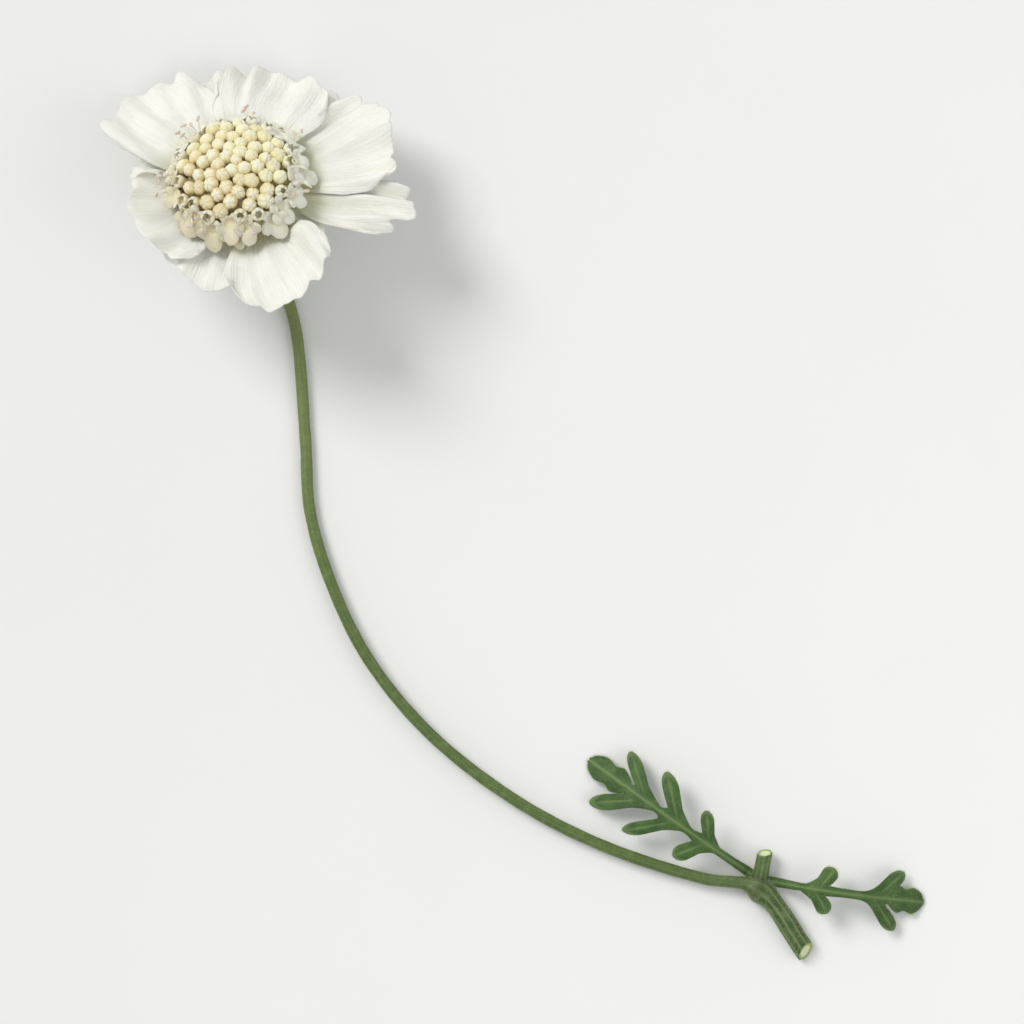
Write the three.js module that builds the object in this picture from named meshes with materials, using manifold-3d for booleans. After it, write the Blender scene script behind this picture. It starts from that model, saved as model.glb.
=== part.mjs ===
// A single cut scabious: one white bloom on a long stalk, with the joint and the two small leaves at its
// foot, lying on a flat surface. Millimetres, +Z up. The surface is z = 0, and the origin lies on it under
// the middle of the flower.
import * as THREE from 'three';
import { mergeVertices } from 'three/addons/utils/BufferGeometryUtils.js';
import Module from 'manifold-3d';

const wasm = await Module();
wasm.setup();

const DEGREES = Math.PI / 180;
const GOLDEN_ANGLE = 137.508 * DEGREES;

// The clear space left between pieces that touch.
const GAP = 0.3;

// Where the bloom lies and how it leans. Its face looks up and leans away from the stalk.
const HEAD_CENTRE = new THREE.Vector3(-43.05, 50.95, 15.12);
const HEAD_LEAN = 28;
const HEAD_LEAN_DIRECTION = 102;

// The ring that carries the ray florets, measured in the bloom's own frame, whose +Z is the bloom's axis.
const RING_INNER_RADIUS = 4.8;
const RING_OUTER_RADIUS = 8.2;
const RING_BOTTOM = -0.8;
const RING_TOP = 0.6;
const RING_SIDES = 22;

// Ray florets, one line each, going round against the clock. Azimuth in degrees, reach of the lip from the
// bloom's axis, full width, height of the lip's end over the ring, sideways roll, and the level at which
// the lip passes over or under its neighbours.
const RAY_ROOT = 5.2;
const RAY_THICKNESS = 0.8;
const RAYS = [
  { azimuth: 24, reach: 26.4, width: 17, end: 1.0, roll: 0.03, level: 0.8 },
  { azimuth: 50, reach: 23.8, width: 18, end: -1.6, roll: -0.02, level: -0.8 },
  { azimuth: 76, reach: 24.0, width: 18, end: -4.0, roll: 0.02, level: 0.8 },
  { azimuth: 106, reach: 24.8, width: 22, end: -1.2, roll: 0.0, level: -0.8 },
  { azimuth: 138, reach: 27.6, width: 21, end: -3.9, roll: -0.02, level: 0.8 },
  { azimuth: 166, reach: 17.6, width: 12, end: 2.8, roll: 0.03, level: -0.8 },
  { azimuth: 207, reach: 17.8, width: 16, end: 3.0, roll: -0.04, level: 0.8 },
  { azimuth: 253, reach: 17.8, width: 19, end: 0.4, roll: 0.02, level: -0.8 },
  { azimuth: 296, reach: 23.0, width: 16, end: -0.4, roll: -0.03, level: 0.8 },
  { azimuth: 323, reach: 15.2, width: 11, end: 3.2, roll: 0.05, level: -1.8 },
  { azimuth: 349, reach: 28.0, width: 14, end: 0.2, roll: -0.04, level: -0.8 },
];
const RAY_COLUMNS = 14;
const RAY_ROWS = 5;
const CLAW_SHARE = 0.1;

// The edge of a lip: one broad middle lobe and a shorter one at each side.
const LOBE_SPLIT = 4 / 7;
const LOBE_CLEFT = 0.05;
const CLEFT_WIDTH = 0.07;
const MIDDLE_LOBE_FALL = 0.1;
const SIDE_LOBE_MIDDLE = 0.76;
const SIDE_LOBE_REACH = 0.92;
const SIDE_LOBE_FALL = 0.1;
const FRILL = 0.035;
const BASE_SPREAD = 0.95;

// Waves that run out through the whole ruff of lips.
const BROAD_WAVE = { height: 0.7, count: 7 };
const RUFF_WAVE = { height: 0.9, count: 15 };

// The cushion of disc florets: a dome whose skin is half an ellipsoid.
const CUSHION_RADIUS = 10.4;
const CUSHION_BASE = 2.5;
const CUSHION_RISE = 6.4;
const CUSHION_EDGE_ANGLE = 82;
const MIDDLE_SPACING = 2.1;
const RIM_SPACING = 2.8;
const RIM_FACING = 0.68;
const DISC_FLORETS = 60;
const OPEN_FLORETS = 20;
const CORE_BOTTOM = 0.9;
const CORE_PROFILE = [
  [0, CORE_BOTTOM],
  [7.8, CORE_BOTTOM],
  [8.4, 2.2],
  [7.6, 4.6],
  [5.4, 6.2],
  [2.8, 7.0],
  [0, 7.3],
];
const CORE_SIDES = 20;

// One disc floret, closed or open. Each ring is [height over the cushion's skin, radius, how far its lobes
// stand out].
const BUD = { rings: [[-2.6, 0.6, 0], [-0.3, 1.26, 0], [0.55, 1.02, 0]], tip: 1.05, sides: 6 };
const OPEN = {
  rings: [[-2.8, 0.6, 0], [-0.3, 0.95, 0.05], [0.75, 1.7, 0.2], [0.2, 0.6, 0]],
  tip: 0.05,
  sides: 10,
};

// Green cup below the ring and its bracts.
const CUP_DEPTH = 8.0;
const BOSS_RADIUS = 4.4;
const CUP_PROFILE = [
  [0, -CUP_DEPTH],
  [1.15, -CUP_DEPTH],
  [1.9, -7.0],
  [4.4, -4.6],
  [6.7, -2.6],
  [7.2, RING_BOTTOM - GAP],
  [BOSS_RADIUS, RING_BOTTOM - GAP],
  [BOSS_RADIUS, CORE_BOTTOM - GAP],
  [0, CORE_BOTTOM - GAP],
];
const BRACTS = 11;
const BRACT_ROOT = 3.4;
const BRACT_REACH = 12.6;
const BRACT_WIDTH = 2.3;
const BRACT_THICKNESS = 0.65;
const BRACT_ROOT_HEIGHT = -4.3;
const BRACT_TIP_HEIGHT = -2.9;
const BRACT_SAG = 0.5;

// Stalk, in the plane of the surface, from where it comes out below the bloom to the joint. Each point is
// [x, y, height of its middle], with x and y counted from the bloom's centre.
const STALK_ROUTE = [
  [8.0, -21.0, 1.2],
  [9.6, -39.0, 1.0],
  [10.4, -51.0, 1.2],
  [14.0, -63.0, 1.6],
  [20.0, -75.0, 2.0],
  [30.0, -87.0, 2.3],
  [44.0, -97.8, 2.2],
  [58.0, -105.0, 1.9],
  [74.0, -110.2, 1.9],
];
const JOINT = [82.8, -111.8, 2.15];
const CUT_END = [90.5, -122.0, 1.65];
const STUMP_END = [83.9, -106.0, 2.6];
const NECK_STRAIGHT = 2.2;
const NECK_ROUTE = [
  [3.9, -9.6, 2.9],
  [6.0, -14.5, 1.6],
];
const STALK_RADIUS = 0.95;
const NECK_FLARE = 0.25;
const JOINT_SWELLING = 0.85;
const MAIN_STEM_RADIUS = 1.55;
const STUMP_RADIUS = 1.15;
const CUT_SLANT = 0.7;
const STUMP_SLANT = 0.5;
const STALK_SIDES = 9;
const STALK_STEPS = 64;
const STUMP_STEPS = 3;

// The two leaves at the joint. The base of each lies out of the joint's middle, at a bearing and a distance.
const LEAF_THICKNESS = 0.7;
const LEAF_CLEARANCE = 0.05;
const LEAF_FOOT_HEIGHT = 1.3;
const LEAF_DROOP = 0.12;
const LOBE_HALF_WIDTH = 1.15;
const RIB_HALF_WIDTH = 0.8;
const LEAVES = [
  { name: 'leaf_left', base: [122, 3.35], azimuth: 145, length: 31, rise: 5.2, lobePairs: 3, lobe: 7.0 },
  { name: 'leaf_right', base: [18, 3.2], azimuth: -8, length: 24, rise: 4.4, lobePairs: 2, lobe: 5.4 },
];

// Repeatable random numbers between -1 and 1.
function seededNoise(seed) {
  let state = seed;
  return () => {
    state = (state * 1664525 + 1013904223) % 4294967296;
    return (state / 4294967296) * 2 - 1;
  };
}

function smoothStep(low, high, value) {
  return THREE.MathUtils.smoothstep(value, low, high);
}

function bufferGeometry(points, triangles) {
  const geometry = new THREE.BufferGeometry();
  const numbers = points.flatMap((point) => [point.x, point.y, point.z]);
  geometry.setAttribute('position', new THREE.Float32BufferAttribute(numbers, 3));
  geometry.setIndex(triangles);
  return geometry;
}

// A closed skin over rings of equally many points, with a point in the middle of each end.
function loft(rings, firstMiddle, lastMiddle) {
  const sides = rings[0].length;
  const points = [firstMiddle, ...rings.flat(), lastMiddle];
  const triangles = [];
  for (let side = 0; side < sides; side += 1) {
    const next = (side + 1) % sides;
    triangles.push(0, 1 + next, 1 + side);
    for (let ring = 0; ring < rings.length - 1; ring += 1) {
      const low = 1 + ring * sides;
      const high = low + sides;
      triangles.push(low + side, low + next, high + next);
      triangles.push(low + side, high + next, high + side);
    }
    const top = 1 + (rings.length - 1) * sides;
    triangles.push(top + side, top + next, points.length - 1);
  }
  return bufferGeometry(points, triangles);
}

// A thin blade: two alike grids, one straight below the other, joined round their rim. pointAt takes
// across from -1 to 1 and along from 0 to 1.
function blade(pointAt, columns, rows, thickness) {
  const points = [];
  const triangles = [];
  const layer = (columns + 1) * (rows + 1);
  for (const offset of [thickness / 2, -thickness / 2]) {
    for (let row = 0; row <= rows; row += 1) {
      for (let column = 0; column <= columns; column += 1) {
        const point = pointAt((2 * column) / columns - 1, row / rows);
        point.z += offset;
        points.push(point);
      }
    }
  }
  const corner = (row, column) => row * (columns + 1) + column;
  for (let row = 0; row < rows; row += 1) {
    for (let column = 0; column < columns; column += 1) {
      const a = corner(row, column);
      const b = corner(row, column + 1);
      const c = corner(row + 1, column + 1);
      const d = corner(row + 1, column);
      triangles.push(a, c, b, a, d, c);
      triangles.push(layer + a, layer + b, layer + c, layer + a, layer + c, layer + d);
    }
  }
  const rim = [];
  for (let column = 0; column < columns; column += 1) rim.push(corner(0, column));
  for (let row = 0; row < rows; row += 1) rim.push(corner(row, columns));
  for (let column = columns; column > 0; column -= 1) rim.push(corner(rows, column));
  for (let row = rows; row > 0; row -= 1) rim.push(corner(row, 0));
  rim.forEach((here, index) => {
    const next = rim[(index + 1) % rim.length];
    triangles.push(here, next, layer + next, here, layer + next, layer + here);
  });
  return bufferGeometry(points, triangles);
}

function toSolid(geometry) {
  const bare = geometry.clone();
  bare.deleteAttribute('normal');
  bare.deleteAttribute('uv');
  const merged = mergeVertices(bare, 1e-4);
  const mesh = new wasm.Mesh({
    numProp: 3,
    vertProperties: new Float32Array(merged.attributes.position.array),
    triVerts: new Uint32Array(merged.index.array),
  });
  return new wasm.Manifold(mesh);
}

function fuse(geometries) {
  const solids = geometries.map(toSolid);
  const whole = solids.reduce((sum, solid) => sum.add(solid));
  const pieces = whole.decompose().sort((one, other) => other.volume() - one.volume());
  const mesh = pieces[0].getMesh();
  const geometry = new THREE.BufferGeometry();
  geometry.setAttribute('position', new THREE.Float32BufferAttribute(mesh.vertProperties, 3));
  geometry.setIndex(new THREE.Uint32BufferAttribute(mesh.triVerts, 1));
  return geometry;
}

function named(name, geometry, colour, roughness) {
  const material = new THREE.MeshStandardMaterial({ color: colour, roughness, metalness: 0 });
  const mesh = new THREE.Mesh(geometry, material);
  mesh.name = name;
  return mesh;
}

// The outer edge of a ray floret's lip, as a share of its length: rounded, and split in three lobes.
function lipEdge(across) {
  const side = Math.abs(across);
  const middleLobe = 1 - MIDDLE_LOBE_FALL * (side / LOBE_SPLIT) ** 3;
  const fromMiddle = (side - SIDE_LOBE_MIDDLE) / (1 - SIDE_LOBE_MIDDLE);
  const sideLobe = SIDE_LOBE_REACH - SIDE_LOBE_FALL * fromMiddle ** 2;
  const cleft = LOBE_CLEFT * Math.exp(-(((side - LOBE_SPLIT) / CLEFT_WIDTH) ** 2));
  return (side <= LOBE_SPLIT ? middleLobe : sideLobe) - cleft;
}

// Height of the lips' ends at an azimuth in degrees, eased from each ray floret to the next.
function endHeight(azimuth) {
  const first = RAYS[0].azimuth;
  const turnedTo = THREE.MathUtils.euclideanModulo(azimuth - first, 360) + first;
  const index = RAYS.findLastIndex((ray) => ray.azimuth <= turnedTo);
  const here = RAYS[index];
  const next = RAYS[(index + 1) % RAYS.length];
  const nextAzimuth = index + 1 < RAYS.length ? next.azimuth : next.azimuth + 360;
  return THREE.MathUtils.lerp(here.end, next.end, smoothStep(here.azimuth, nextAzimuth, turnedTo));
}

// Neighbouring lips share these waves, so that they lie on each other and don't cross.
function ruffWaves(azimuth, radius) {
  const angle = azimuth * DEGREES;
  const bent = angle + 0.12 * Math.sin(3 * angle + 1) + 0.04 * Math.sin(8 * angle);
  const broad = BROAD_WAVE.height * Math.sin(BROAD_WAVE.count * bent + 0.8 + 0.06 * radius);
  const ruff = RUFF_WAVE.height * Math.sin(RUFF_WAVE.count * bent + 2.1 - 0.1 * radius);
  return smoothStep(9, 24, radius) * (broad + ruff);
}

function rayFloret(ray, index) {
  const noise = seededNoise(41 + index * 17);
  const frill = Array.from({ length: RAY_COLUMNS + 1 }, () => 1 + FRILL * noise());
  const length = ray.reach - RAY_ROOT;
  const halfAngle = Math.asin(Math.min(0.8, ray.width / (1.75 * length)));
  const pointAt = (across, share) => {
    const along = THREE.MathUtils.lerp(CLAW_SHARE, 1, share);
    const column = Math.round(((across + 1) / 2) * RAY_COLUMNS);
    const reach = length * along * THREE.MathUtils.lerp(1, lipEdge(across) * frill[column], along);
    const broad = 1 + BASE_SPREAD * (1 - along) * smoothStep(CLAW_SHARE, 0.35, along);
    const outward = RAY_ROOT + reach * Math.cos(across * halfAngle);
    const sideways = reach * Math.sin(across * halfAngle) * broad;
    const azimuth = ray.azimuth + Math.atan2(sideways, outward) / DEGREES;
    const open = smoothStep(0.35, 1.0, along);
    const level = ray.level * smoothStep(0.2, 0.55, along);
    const spread = endHeight(azimuth) * open ** 1.3 + ray.roll * sideways * open;
    const height = level + spread + ruffWaves(azimuth, Math.hypot(outward, sideways));
    return new THREE.Vector3(outward, sideways, height);
  };
  return blade(pointAt, RAY_COLUMNS, RAY_ROWS, RAY_THICKNESS).rotateZ(ray.azimuth * DEGREES);
}

// A solid of revolution about the bloom's axis. A profile point is [radius, height].
function turned(profile, sides) {
  const points = profile.map(([radius, height]) => new THREE.Vector2(radius, height));
  return new THREE.LatheGeometry(points, sides).rotateX(90 * DEGREES);
}

function rayFlorets() {
  const ring = turned(
    [
      [RING_INNER_RADIUS, RING_BOTTOM],
      [RING_OUTER_RADIUS, RING_BOTTOM],
      [RING_OUTER_RADIUS, RING_TOP],
      [RING_INNER_RADIUS, RING_TOP],
      [RING_INNER_RADIUS, RING_BOTTOM],
    ],
    RING_SIDES,
  );
  return named('ray_florets', fuse([ring, ...RAYS.map(rayFloret)]), 0xf2f3ee, 0.6);
}

// A disc floret stands out of the core along its own axis.
function discFloret({ rings, tip, sides }, base, axis, spin, size) {
  const turn = new THREE.Quaternion().setFromUnitVectors(new THREE.Vector3(0, 0, 1), axis);
  const place = (radius, angle, height) => {
    const point = new THREE.Vector3(radius * Math.cos(angle), radius * Math.sin(angle), height);
    return point.applyQuaternion(turn).add(base);
  };
  const shaped = rings.map(([height, radius, lobes]) => {
    const ring = [];
    for (let side = 0; side < sides; side += 1) {
      const standsOut = 1 + (side % 2 === 0 ? lobes : -lobes);
      ring.push(place(radius * size * standsOut, (2 * Math.PI * side) / sides + spin, height));
    }
    return ring;
  });
  return loft(shaped, place(0, 0, rings[0][0]), place(0, 0, tip));
}

// Angles from the cushion's middle out to the florets, which stand closest together in the middle.
function floretAngles() {
  const steps = 200;
  const edge = CUSHION_EDGE_ANGLE * DEGREES;
  const filled = [0];
  for (let step = 1; step <= steps; step += 1) {
    const angle = (edge * step) / steps;
    const slope = Math.hypot(CUSHION_RADIUS * Math.cos(angle), CUSHION_RISE * Math.sin(angle));
    const spacing = THREE.MathUtils.lerp(MIDDLE_SPACING, RIM_SPACING, step / steps);
    filled.push(filled[step - 1] + (Math.sin(angle) * slope) / spacing ** 2);
  }
  return Array.from({ length: DISC_FLORETS }, (_, index) => {
    const wanted = (filled[steps] * (index + 0.5)) / DISC_FLORETS;
    return (edge * filled.findIndex((sum) => sum >= wanted)) / steps;
  });
}

// The florets follow the golden angle from the middle out, as seeds do. The outermost are open, and face
// up more than the cushion's edge does.
function discFlorets() {
  const noise = seededNoise(7);
  const pieces = [turned(CORE_PROFILE, CORE_SIDES)];
  floretAngles().forEach((polar, index) => {
    const azimuth = index * GOLDEN_ANGLE;
    const out = new THREE.Vector3(Math.cos(azimuth), Math.sin(azimuth), 0);
    const skin = out.clone().multiplyScalar(CUSHION_RADIUS * Math.sin(polar));
    skin.z = CUSHION_BASE + CUSHION_RISE * Math.cos(polar) + 0.15 * noise();
    const share = Math.sqrt((index + 0.5) / DISC_FLORETS);
    const facing = polar * THREE.MathUtils.lerp(1, RIM_FACING, smoothStep(0.6, 1, share));
    const axis = out.clone().multiplyScalar(Math.sin(facing)).setZ(Math.cos(facing));
    const spin = noise() * Math.PI;
    const kind = index >= DISC_FLORETS - OPEN_FLORETS ? OPEN : BUD;
    const size = 1 + 0.06 * noise();
    pieces.push(discFloret(kind, skin, axis, spin, size));
  });
  return named('disc_florets', fuse(pieces), 0xe4dcb4, 0.7);
}

function bract(index) {
  const noise = seededNoise(101 + index * 13);
  const reach = BRACT_REACH + 0.7 * noise();
  const tipHeight = BRACT_TIP_HEIGHT + 0.2 * noise();
  const pointAt = (across, along) => {
    const halfWidth = (BRACT_WIDTH / 2) * Math.sin(Math.PI * (0.3 + 0.68 * along)) ** 0.9;
    const outward = THREE.MathUtils.lerp(BRACT_ROOT, reach, along);
    const straight = THREE.MathUtils.lerp(BRACT_ROOT_HEIGHT, tipHeight, along);
    const height = straight - BRACT_SAG * Math.sin(Math.PI * along) + 0.25 * Math.abs(across);
    return new THREE.Vector3(outward, across * halfWidth, height);
  };
  const turn = (360 / BRACTS) * index + 5 * noise();
  return blade(pointAt, 2, 6, BRACT_THICKNESS).rotateZ(turn * DEGREES);
}

function involucre() {
  const bracts = Array.from({ length: BRACTS }, (_, index) => bract(index));
  return named('involucre', fuse([turned(CUP_PROFILE, RING_SIDES), ...bracts]), 0x6f8a3c, 0.75);
}

// A round stem that follows a curve. radiusAt takes the share of the way from 0 to 1. slant shears the
// last ring, as a slanting cut does.
function stem(curve, steps, radiusAt, slant) {
  const frames = curve.computeFrenetFrames(steps, false);
  const rings = [];
  for (let step = 0; step <= steps; step += 1) {
    const share = step / steps;
    const middle = curve.getPointAt(share);
    const ring = [];
    for (let side = 0; side < STALK_SIDES; side += 1) {
      const angle = (2 * Math.PI * side) / STALK_SIDES;
      const radius = radiusAt(share);
      const point = middle.clone();
      point.addScaledVector(frames.normals[step], radius * Math.cos(angle));
      point.addScaledVector(frames.binormals[step], radius * Math.sin(angle));
      if (step === steps) point.addScaledVector(frames.tangents[step], slant * radius * Math.cos(angle));
      ring.push(point);
    }
    rings.push(ring);
  }
  return loft(rings, curve.getPointAt(0), curve.getPointAt(1));
}

function fromHeadCentre([x, y, height]) {
  return new THREE.Vector3(HEAD_CENTRE.x + x, HEAD_CENTRE.y + y, height);
}

function stalk(head) {
  const axis = new THREE.Vector3(0, 0, -1).applyQuaternion(head.quaternion);
  const top = HEAD_CENTRE.clone().addScaledVector(axis, CUP_DEPTH + GAP);
  const joint = fromHeadCentre(JOINT);
  const cutEnd = fromHeadCentre(CUT_END);
  const route = [
    top,
    top.clone().addScaledVector(axis, NECK_STRAIGHT),
    ...NECK_ROUTE.map(fromHeadCentre),
    ...STALK_ROUTE.map(fromHeadCentre),
    joint,
    cutEnd,
  ];
  const curve = new THREE.CatmullRomCurve3(route, false, 'centripetal');
  const toJoint = 1 - joint.distanceTo(cutEnd) / curve.getLength();
  const radiusAt = (share) => {
    const flare = NECK_FLARE * Math.exp(-share * 60);
    const swelling = JOINT_SWELLING * Math.exp(-(((share - toJoint) / 0.011) ** 2));
    const below = smoothStep(toJoint - 0.01, toJoint + 0.01, share);
    return THREE.MathUtils.lerp(STALK_RADIUS, MAIN_STEM_RADIUS, below) + flare + swelling;
  };
  const body = stem(curve, STALK_STEPS, radiusAt, CUT_SLANT);
  const stumpCurve = new THREE.LineCurve3(joint, fromHeadCentre(STUMP_END));
  const stump = stem(stumpCurve, STUMP_STEPS, () => STUMP_RADIUS, STUMP_SLANT);
  return named('stalk', fuse([body, stump]), 0x76865a, 0.65);
}

// The rows of points of a leaf cut to the rib: lobes that point forward, in pairs, and a long end lobe. Each
// row has a point on the rib, one beside it and one on the edge.
function leafRows({ length, lobePairs, lobe }) {
  const straightRow = (x, halfWidth) => [[x, 0], [x, halfWidth / 2], [x, halfWidth]];
  const rows = [straightRow(0, 0.75), straightRow(0.16 * length, 0.6)];
  for (let pair = 0; pair < lobePairs; pair += 1) {
    const middle = length * (0.27 + (0.4 * pair) / (lobePairs - 1));
    const reach = lobe * (pair === 0 ? 0.72 : 1);
    const lean = (50 - 6 * pair) * DEGREES;
    const halfFoot = LOBE_HALF_WIDTH / Math.sin(lean);
    const lobeRow = (share, aside) => {
      const foot = middle - aside * halfFoot;
      const x = middle + share * reach * Math.cos(lean) - aside * LOBE_HALF_WIDTH * Math.sin(lean);
      const y = RIB_HALF_WIDTH + share * reach * Math.sin(lean) + aside * LOBE_HALF_WIDTH * Math.cos(lean);
      return [[foot, 0], [foot, RIB_HALF_WIDTH / 2], [x, y]];
    };
    rows.push(straightRow(middle - halfFoot - 0.4, RIB_HALF_WIDTH));
    rows.push(lobeRow(0.7, 1));
    rows.push(lobeRow(0.94, 0.55));
    rows.push(lobeRow(0.96, -0.5));
    rows.push(lobeRow(0.7, -1));
    rows.push(straightRow(middle + halfFoot + RIB_HALF_WIDTH / (2 * Math.tan(lean)) + 0.4, RIB_HALF_WIDTH));
  }
  rows.push(straightRow(0.79 * length, 1.4));
  rows.push(straightRow(0.87 * length, 2.0));
  rows.push(straightRow(0.96 * length, 1.5));
  rows.push(straightRow(length, 0.5));
  return rows;
}

function leaf({ name, base, azimuth, length, rise, lobePairs, lobe }) {
  const rows = leafRows({ length, lobePairs, lobe });
  const pointAt = (across, share) => {
    const row = rows[Math.round(share * (rows.length - 1))];
    const [x, y] = row[Math.round(2 * Math.abs(across))];
    const along = Math.min(1, x / length);
    const arch = rise * Math.sin(Math.PI * along ** 0.8) + LEAF_FOOT_HEIGHT * (1 - along);
    const droop = LEAF_DROOP * y * Math.sin(Math.PI * along);
    return new THREE.Vector3(x, Math.sign(across) * y, LEAF_THICKNESS / 2 + arch - droop);
  };
  const mesh = named(name, blade(pointAt, 4, rows.length - 1, LEAF_THICKNESS), 0x4f6b4a, 0.8);
  const bearing = base[0] * DEGREES;
  const outOfJoint = new THREE.Vector3(Math.cos(bearing), Math.sin(bearing), 0);
  const joint = fromHeadCentre([JOINT[0], JOINT[1], LEAF_CLEARANCE]);
  mesh.position.copy(joint.addScaledVector(outOfJoint, base[1]));
  mesh.rotation.z = azimuth * DEGREES;
  return mesh;
}

function bloom() {
  const head = new THREE.Group();
  const direction = HEAD_LEAN_DIRECTION * DEGREES;
  const hinge = new THREE.Vector3(-Math.sin(direction), Math.cos(direction), 0);
  head.position.copy(HEAD_CENTRE);
  head.quaternion.setFromAxisAngle(hinge, HEAD_LEAN * DEGREES);
  head.add(rayFlorets(), discFlorets(), involucre());
  return head;
}

const scabious = new THREE.Group();
const head = bloom();
scabious.add(head, stalk(head), ...LEAVES.map(leaf));

export default scabious;
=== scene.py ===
from math import asin, atan2, copysign, cos, pi, radians, sin, sqrt, tan

import bpy
import numpy as np
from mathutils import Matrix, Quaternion, Vector


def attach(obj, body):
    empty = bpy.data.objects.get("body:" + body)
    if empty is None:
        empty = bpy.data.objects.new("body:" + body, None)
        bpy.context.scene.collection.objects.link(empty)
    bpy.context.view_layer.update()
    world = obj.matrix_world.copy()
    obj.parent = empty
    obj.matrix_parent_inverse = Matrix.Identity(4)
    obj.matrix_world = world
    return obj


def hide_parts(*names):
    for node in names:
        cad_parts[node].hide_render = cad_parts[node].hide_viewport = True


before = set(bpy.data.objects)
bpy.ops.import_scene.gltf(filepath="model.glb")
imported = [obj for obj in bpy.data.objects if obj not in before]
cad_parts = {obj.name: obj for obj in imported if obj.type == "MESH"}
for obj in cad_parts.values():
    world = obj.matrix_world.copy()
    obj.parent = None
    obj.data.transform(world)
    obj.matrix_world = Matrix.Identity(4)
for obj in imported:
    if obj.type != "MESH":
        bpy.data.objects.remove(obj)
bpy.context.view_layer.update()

# Lengths in this script are millimetres. add_piece turns them into metres.
MM = 0.001
GOLDEN_ANGLE = radians(137.508)
CURVE_SAMPLES = 60
LEAST_RADIUS = 0.02

# Least heights above the surface.
LEAST_STEM_HEIGHT = 0.01
LEAST_BLOOM_HEIGHT = 0.02
LEAST_LEAF_HEIGHT = 0.03

# The bloom's place and lean.
HEAD_CENTRE = np.array([-43.05, 50.95, 15.12])
HEAD_LEAN = 28
HEAD_LEAN_DIRECTION = 102

# Ray florets: azimuth in degrees, reach, width, height of the end, sideways roll, level.
# RAY_ROOT is the radius at which their lips start.
RAY_ROOT = 5.2
RAYS = [
    (24, 26.4, 17, 1.0, 0.03, 0.6),
    (50, 23.8, 18, -1.6, -0.02, -0.8),
    (76, 24.0, 18, -4.0, 0.02, 1.7),
    (106, 24.8, 22, -1.2, 0.0, -1.8),
    (134, 27.6, 17.5, -3.9, -0.02, 0.8),
    (166, 17.6, 12, 2.8, 0.03, -0.5),
    (207, 17.8, 16, 3.0, -0.04, 1.2),
    (253, 17.8, 19, 0.4, 0.02, -0.8),
    (296, 23.0, 16, -0.4, -0.03, 0.8),
    (323, 15.2, 11, 3.2, 0.05, -2.2),
    (351, 28.0, 9.5, 0.2, -0.04, -0.8),
]
RAY_COLUMNS = 14
CLAW_SHARE = 0.1
LOBE_SPLIT = 4 / 7
LOBE_CLEFT = 0.055
SIDE_FALL = 0.1
CORNER_FALL = 0.15
FRILL = 0.03
BASE_SPREAD = 1.25

# Waves through the whole ruff of lips: height, count, phase and turn for each millimetre outward.
BROAD_WAVE = (0.7, 7, 0.8, 0.06)
RUFF_WAVE = (0.8, 15, 2.1, -0.1)
FINE_WAVE = (0.65, 29, 0.4, 0.15)

# Finer form of a ray floret's lip.
LIP_COLUMNS = 76
LIP_ROWS = 46
LIP_DROP = 0.2
LIP_THICKNESS = 0.26
LIP_EDGE_THICKNESS = 0.1
LIP_BREADTH = 1.6
TOOTH_DEPTH = 0.012
END_SPREAD = 0.1
SIDE_WOBBLE = 0.05
FOLD_HEIGHT = 0.42
CRINKLE_HEIGHT = 0.06
MARGIN_CURL = 1.0

# Where lips lie on the surface: height of the lowest lip, and how much higher for each level above it.
LAID_HEIGHT = 0.14
LAID_STEP = 0.25
LOWEST_LAID_LEVEL = -1.8
LAID_SOFTNESS = 0.35

# Tube of a ray floret, at its root and at its lip.
TUBE_REACH = (4.6, 11.6)
TUBE_HALF_WIDTH = (0.75, 1.7)
TUBE_HALF_DEPTH = (0.6, 0.3)
TUBE_HEIGHT = (-1.3, -0.65)

# Cushion of disc florets.
CUSHION_RADIUS = 10.4
CUSHION_BASE = 2.5
CUSHION_RISE = 6.4
CUSHION_EDGE_ANGLE = 82
DISC_FLORETS = 94
HALF_OPEN_FROM = 54
OPEN_FROM = 68
MIDDLE_SPACING = 2.1
RIM_SPACING = 2.8
CORE_PROFILE = [(0, -0.4), (7.0, -0.4), (7.5, 1.6), (7.5, 4.4), (6.1, 6.4), (3.2, 7.5), (0, 7.8)]
CORE_TUBES = 26

# Stamens and bristles.
THREAD_RADIUS = 0.075
ANTHER_RADIUS = 0.27
ANTHER_HALF_LENGTH = 0.62
BRISTLE_RADIUS = 0.07
BRISTLE_LENGTH = 2.5

# Hairs of the green parts: radius, and how many on each part.
HAIR_RADIUS = 0.013
BRACT_HAIRS = 90
LEAF_HAIRS = 2400
STALK_HAIRS = 6000
STUMP_HAIRS = 400

# Green cup and bracts.
CUP_DEPTH = 8.0
CUP_PROFILE = [(0, -8.0), (1.15, -8.0), (1.9, -7.0), (4.4, -4.6), (6.7, -2.6), (7.2, -1.1), (0, -0.9)]
BRACTS = 11
BRACT_ROOT = 3.4
BRACT_REACH = 12.6
BRACT_WIDTH = 2.3
BRACT_ROOT_HEIGHT = -4.3
BRACT_TIP_HEIGHT = -2.9
BRACT_SAG = 0.5
BRACT_THICKNESS = 0.42
INNER_BRACT_SHORTER = 2.6
INNER_BRACT_WIDTH = 1.7
INNER_BRACT_ROOT_HEIGHT = -3.3
INNER_BRACT_LIFT = 0.3

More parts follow.
